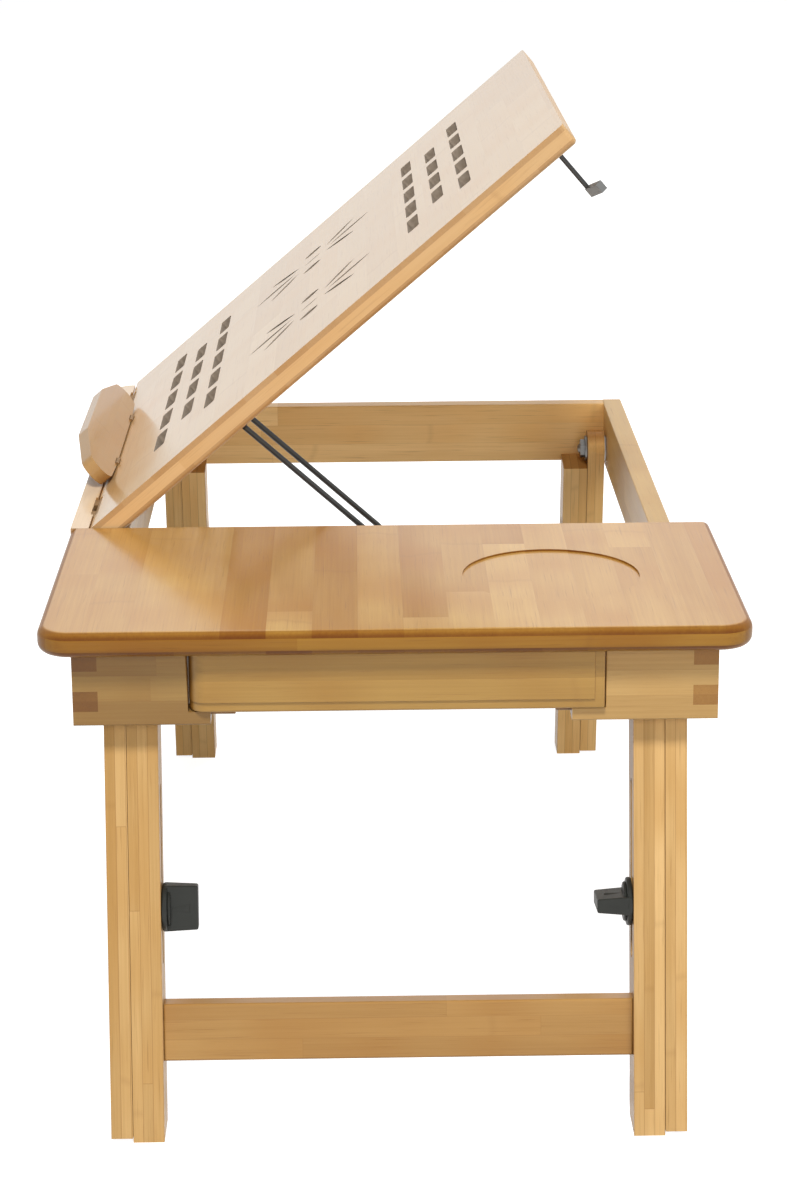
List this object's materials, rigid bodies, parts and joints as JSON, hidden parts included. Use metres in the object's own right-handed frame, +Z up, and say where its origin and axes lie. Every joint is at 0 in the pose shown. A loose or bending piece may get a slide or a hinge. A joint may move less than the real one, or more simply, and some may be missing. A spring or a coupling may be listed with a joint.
{
  "type": "laptop stand with drawer",
  "caption": "Wooden bed tray and laptop stand: tilting vented board on a wire prop, fixed board over a drawer, folding legs with slide-out lower halves.",
  "frame": {"origin": "on the floor, at the middle of the tray's plan, with the legs open and pushed in", "axes": "+X along the tray towards the drawer end, -Y towards the user, +Z up"},
  "size_m": [0.5744, 0.36, 0.4877],
  "materials": {
    "board_bamboo": "clear lacquered bamboo, strips glued side by side, semi-gloss",
    "rail_bamboo": "clear lacquered bamboo, darker carbonised tone, satin",
    "leg_bamboo": "clear lacquered bamboo, strips along the leg, satin",
    "drawer_bamboo": "clear lacquered bamboo, satin",
    "dark_wire": "dark zinc-nickel finish, satin",
    "steel": "zinc-plated steel, satin",
    "black_plastic": "black nylon, matte"
  },
  "bodies": {
    "frame": {"fixed_board": "board_bamboo", "front_strip": "board_bamboo", "front_rail": "rail_bamboo", "rear_rail": "rail_bamboo", "far_end_rail": "rail_bamboo", "drawer_end_rail_front": "rail_bamboo", "drawer_end_rail_rear": "rail_bamboo", "mid_rail": "rail_bamboo", "prop_rail": "rail_bamboo", "drawer_runners": "rail_bamboo", "board_hinge_frame_leaves": "steel", "board_hinge_frame_screws": "steel", "leg_pivot_bolts": "steel", "leg_pivot_washers": "steel", "leg_pivot_nuts": "steel"},
    "board": {"tilt_board": "board_bamboo", "board_hinge_board_leaves": "steel", "board_hinge_pins": "steel", "board_hinge_board_screws": "steel", "prop_eyes": "steel", "prop_eye_screws": "steel", "latch_bush": "steel", "ledge_hinge_leaves": "steel", "ledge_hinge_pins": "steel"},
    "ledge": {"book_ledge": "board_bamboo", "ledge_hinge_tops": "steel"},
    "prop": {"wire_prop": "dark_wire"},
    "latch": {"latch_rod": "dark_wire", "latch_foot": "steel"},
    "drawer": {"drawer_front": "drawer_bamboo", "drawer_side_front": "drawer_bamboo", "drawer_side_rear": "drawer_bamboo", "drawer_back": "drawer_bamboo", "drawer_bottom": "drawer_bamboo"},
    "legs_drawer": {"upper_leg_drawer_front": "leg_bamboo", "upper_leg_drawer_rear": "leg_bamboo", "clamp_bolts_drawer": "steel", "guide_pins_drawer": "steel"},
    "legs_drawer_lower": {"lower_leg_drawer_front": "leg_bamboo", "lower_leg_drawer_rear": "leg_bamboo", "crossbar_drawer": "leg_bamboo"},
    "knob_drawer_front": {"knob_drawer_front": "black_plastic"},
    "knob_drawer_rear": {"knob_drawer_rear": "black_plastic"},
    "legs_far": {"upper_leg_far_front": "leg_bamboo", "upper_leg_far_rear": "leg_bamboo", "clamp_bolts_far": "steel", "guide_pins_far": "steel"},
    "legs_far_lower": {"lower_leg_far_front": "leg_bamboo", "lower_leg_far_rear": "leg_bamboo", "crossbar_far": "leg_bamboo"},
    "knob_far_front": {"knob_far_front": "black_plastic"},
    "knob_far_rear": {"knob_far_rear": "black_plastic"}
  },
  "joints": [
    {"name": "board_tilt", "type": "hinge", "parent": "frame", "child": "board", "pos_m": [0, -0.1641, 0.2648], "axis": [1, 0, 0], "range_deg": [-40.5, 0]},
    {"name": "prop_swing", "type": "hinge", "parent": "board", "child": "prop", "pos_m": [0.037, -0.08232, 0.31656], "axis": [1, 0, 0], "range_deg": [0, 82.47]},
    {"name": "ledge_fold", "type": "hinge", "parent": "board", "child": "ledge", "pos_m": [-0.093, -0.16028, 0.27188], "axis": [1, 0, 0], "range_deg": [-90, 0]},
    {"name": "latch_turn", "type": "hinge", "parent": "board", "child": "latch", "pos_m": [0.025, 0.11571, 0.43961], "axis": [0, -0.6494, 0.7604], "range_deg": [-120, 60]},
    {"name": "drawer_slide", "type": "slide", "parent": "frame", "child": "drawer", "axis": [1, 0, 0], "range_m": [0, 0.12]},
    {"name": "fold_drawer", "type": "hinge", "parent": "frame", "child": "legs_drawer", "pos_m": [0.235, 0, 0.227], "axis": [0, 1, 0], "range_deg": [0, 100]},
    {"name": "extend_drawer", "type": "slide", "parent": "legs_drawer", "child": "legs_drawer_lower", "axis": [-0.1736, 0, 0.9848], "range_m": [-0.06, 0]},
    {"name": "knob_drawer_front_turn", "type": "hinge", "parent": "legs_drawer", "child": "knob_drawer_front", "pos_m": [0.25479, -0.1092, 0.11473], "axis": [0, -1, 0], "range_deg": [-360, 0]},
    {"name": "knob_drawer_rear_turn", "type": "hinge", "parent": "legs_drawer", "child": "knob_drawer_rear", "pos_m": [0.25479, 0.1092, 0.11473], "axis": [0, 1, 0], "range_deg": [-360, 0]},
    {"name": "fold_far", "type": "hinge", "parent": "frame", "child": "legs_far", "pos_m": [-0.235, 0, 0.227], "axis": [0, -1, 0], "range_deg": [0, 100]},
    {"name": "extend_far", "type": "slide", "parent": "legs_far", "child": "legs_far_lower", "axis": [0.1736, 0, 0.9848], "range_m": [-0.06, 0]},
    {"name": "knob_far_front_turn", "type": "hinge", "parent": "legs_far", "child": "knob_far_front", "pos_m": [-0.25479, -0.1092, 0.11473], "axis": [0, -1, 0], "range_deg": [-360, 0]},
    {"name": "knob_far_rear_turn", "type": "hinge", "parent": "legs_far", "child": "knob_far_rear", "pos_m": [-0.25479, 0.1092, 0.11473], "axis": [0, 1, 0], "range_deg": [-360, 0]}
  ],
  "couplings": [
    {"joint": "prop_swing", "follows": "board_tilt", "ratio": -2.035}
  ]
}
